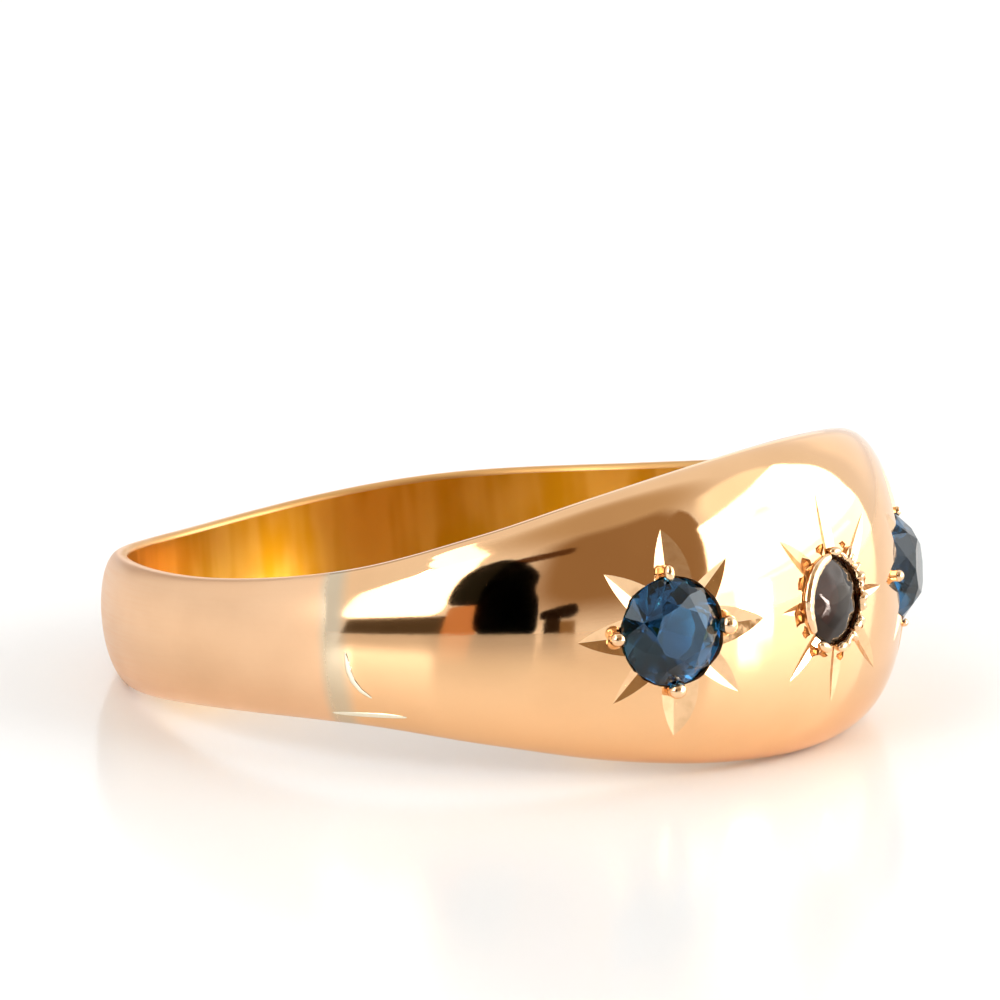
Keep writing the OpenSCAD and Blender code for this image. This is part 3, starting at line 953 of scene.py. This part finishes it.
# the studio round the ring: rounded cards on a far dome, with angles in degrees
studio = {
    "air": (0.94, 0.96, 0.98),
    "shade": (0.56, 0.46, 0.32),  # dim ceiling
    "shadeDirection": (-30, 66),
    "shadeReach": (0.80, 0.985),  # cosines where the ceiling's shade begins and is full
    "farDome": 2.0,  # metres
    "cardStep": 0.02,  # metres that each card stands in front of the one before
    "cardRings": 8,
    # name, corners as azimuth and elevation, their rounding, soft share of the edge, colour, strength
    "cards": (
        ("backdrop", ((119, 5), (137, 5), (137, 24), (119, 24)), 0.3, 0, (1, 1, 1), 1.25),
        ("leftWall", ((134, -1), (174, -1), (174, 45), (134, 45)), 0.3, 0.5, (0.56, 0.50, 0.46), 1.0),
        ("rightAir", ((81, -1), (119, -1), (119, 33), (81, 33)), 0.3, 0.5, (1, 1, 1), 1.14),
        ("brownShade", ((-64, -1), (3, -1), (4, 20), (6, 49), (-2, 57), (-30, 53), (-50, 52), (-64, 45)),
         0.25, 0.40, (0.33, 0.22, 0.115), 1.0),
        ("brownEdge", ((-20, -1), (1, -1), (2, 9), (4, 17), (4.4, 24), (5.2, 36), (4.5, 44), (2, 49),
                       (-4, 46), (-14, 34), (-20, 22)),
         0.1, 0.15, (0.33, 0.22, 0.115), 1.0),
        ("leftWindow", ((-77, 8.5), (-104, 8.5), (-107.5, 28), (-103, 37), (-96.5, 44), (-88, 55),
                        (-80, 49), (-74, 30)),
         0.15, 0, (1, 1, 0.98), 3.6),
        ("leftWindowTop", ((-82, 49), (-96.5, 43.5), (-104, 48), (-109, 53), (-125, 58), (-147, 61),
                           (-166, 63), (-165, 66.5), (-150, 68), (-112, 65), (-88, 56)),
         0.15, 0.05, (1, 1, 0.98), 3.4),
        ("brightFrame", ((-99.5, 10), (-98.6, 10), (-98.6, 44), (-99.5, 44)), 0.1, 0, (1, 1, 1), 16),
        ("windowGlow", ((3, 28), (3, 42), (12, 53), (36, 57), (58, 55), (67, 48), (65, 38), (60, 20)),
         0.3, 0.3, (1, 1.02, 0.98), 1.35),
        ("rightWindow", ((1.5, 6), (2.4, 17), (2.9, 24), (2.7, 32.5), (18, 36.5), (38, 40.5), (52, 43),
                         (66.5, 43), (67.5, 35), (71, 26.5), (74, 12), (78, 5)),
         0.12, 0.03, (1, 1, 0.98), 3.8),
        ("rightWall", ((5, -1), (79.5, -1), (77, 6), (76, 7.5), (5, 7)), 0.05, 0, (1, 0.98, 0.92), 2.8),
        ("glint", ((12, -1), (12, 13), (27, 13), (27, -1)), 0.2, 0.3, (1, 1, 1), 45),
        ("darkShelf", ((-102, -1), (-73, -1), (-73, 8.2), (-102, 8.2)), 0.1, 0, (0.08, 0.06, 0.035), 1.0),
        ("woodBlock", ((-75, -1), (-66, -1), (-66, 12.5), (-75, 12.5)), 0.15, 0, (0.62, 0.30, 0.13), 1.0),
        ("standSide", ((-62, 12), (-76.5, 13), (-77.5, 29), (-76, 37), (-70, 40.5), (-62, 36)), 0.25, 0,
         (0.012, 0.012, 0.008), 1.0),
        ("standArm", ((-66, 33), (-52, 34.5), (-44, 35.5), (-44, 39.5), (-54, 39), (-66, 38)), 0.3, 0,
         (0.10, 0.045, 0.015), 1.0),
        ("stand", ((-67.5, -1), (-67.5, 30), (-66, 38), (-60, 34), (-53.5, 25), (-54, 18), (-52, 12),
                   (-51.5, -1)),
         0.3, 0, (0, 0, 0), 1.0),
        ("smallBox", ((-50, -1), (-45, -1), (-45, 5), (-50, 5)), 0.2, 0, (0.025, 0.015, 0.008), 1.0),
        ("smallBoxSide", ((-45.5, -1), (-41, -1), (-41, 4.5), (-45.5, 4.5)), 0.1, 0, (0.26, 0.17, 0.08), 1.0),
        ("smallLid", ((-51.3, 4.8), (-42, 5.2), (-40, 7.5), (-41, 10.8), (-46, 9.8), (-51.3, 8)), 0.3, 0,
         (0.012, 0.006, 0.003), 1.0),
        ("paleBehindSapphire", ((-9, -1), (5, -1), (5, 8), (-9, 8)), 0.3, 0, (0.60, 0.80, 1.0), 4.6),
    ),
}


def skyPoint(azimuth, elevation, distance=1.0):
    a, e = math.radians(azimuth), math.radians(elevation)
    return (distance * math.sin(a) * math.cos(e),
            -distance * math.cos(a) * math.cos(e),
            distance * math.sin(e))


def roundedOutline(corners, rounding, steps=5):
    corners = np.array(corners, float)
    outline = []
    for i, corner in enumerate(corners):
        start = corner + (corners[i - 1] - corner) * rounding
        end = corner + (corners[(i + 1) % len(corners)] - corner) * rounding
        for t in np.linspace(0, 1, steps):
            outline.append((1 - t)**2 * start + 2 * t * (1 - t) * corner + t**2 * end)
    return np.array(outline)


def cardGlow(name, soft, tint, strength):
    glow = bpy.data.materials.new(name)
    glow.use_nodes = True
    tree = glow.node_tree
    tree.nodes.clear()
    surface = addNode(tree, "ShaderNodeEmission", {"Color": (*tint, 1), "Strength": strength}).outputs[0]
    if soft:
        reach = addNode(tree, "ShaderNodeAttribute", attribute_name="reach").outputs["Fac"]
        seen = addRange(tree, reach, 1 - soft, 1.0, 1.0, 0.0)
        clear = addNode(tree, "ShaderNodeBsdfTransparent").outputs[0]
        surface = addNode(tree, "ShaderNodeMixShader", {0: seen, 1: clear, 2: surface}).outputs[0]
    addNode(tree, "ShaderNodeOutputMaterial", {"Surface": surface})
    glow.cycles.emission_sampling = "NONE"
    return glow


def studioCard(layer, name, corners, rounding, soft, tint, strength):
    rings = studio["cardRings"]
    outline = roundedOutline(corners, rounding)
    middle = outline.mean(axis=0)
    distance = studio["farDome"] - studio["cardStep"] * layer
    points, reach = [skyPoint(*middle, distance)], [0.0]
    for ring in range(1, rings + 1):
        for spot in outline:
            points.append(skyPoint(*(middle + (spot - middle) * ring / rings), distance))
            reach.append(ring / rings)
    count = len(outline)
    faces = [(0, 1 + (i + 1) % count, 1 + i) for i in range(count)]
    for ring in range(rings - 1):
        low, high = 1 + ring * count, 1 + (ring + 1) * count
        faces += [(low + i, low + (i + 1) % count, high + (i + 1) % count, high + i) for i in range(count)]
    mesh = bpy.data.meshes.new(name)
    mesh.from_pydata(points, [], faces)
    mesh.attributes.new("reach", "FLOAT", "POINT").data.foreach_set("value", np.array(reach, np.float32))
    mesh.materials.append(cardGlow(name, soft, tint, strength))
    card = bpy.data.objects.new(name, mesh)
    bpy.context.scene.collection.objects.link(card)
    card.visible_camera = False


def makeLight():
    world = bpy.data.worlds.new("studio")
    bpy.context.scene.world = world
    world.use_nodes = True
    world.cycles.sampling_method = "NONE"
    nodes, links = world.node_tree.nodes, world.node_tree.links
    toShade = nodes.new("ShaderNodeVectorMath")
    toShade.operation = "DOT_PRODUCT"
    links.new(nodes.new("ShaderNodeTexCoord").outputs["Generated"], toShade.inputs[0])
    toShade.inputs[1].default_value = skyPoint(*studio["shadeDirection"])
    share = nodes.new("ShaderNodeMapRange")
    share.interpolation_type = "SMOOTHSTEP"
    links.new(toShade.outputs["Value"], share.inputs["Value"])
    share.inputs["From Min"].default_value = studio["shadeReach"][0]
    share.inputs["From Max"].default_value = studio["shadeReach"][1]
    sky = nodes.new("ShaderNodeMix")
    sky.data_type = "RGBA"
    links.new(share.outputs["Result"], sky.inputs["Factor"])
    sky.inputs[6].default_value = (*studio["air"], 1)
    sky.inputs[7].default_value = (*studio["shade"], 1)
    links.new(sky.outputs[2], nodes["Background"].inputs["Color"])
    for layer, card in enumerate(studio["cards"]):
        studioCard(layer, *card)
    bpy.context.scene.view_settings.view_transform = "Standard"


makeLight()
print("floor and light ready")
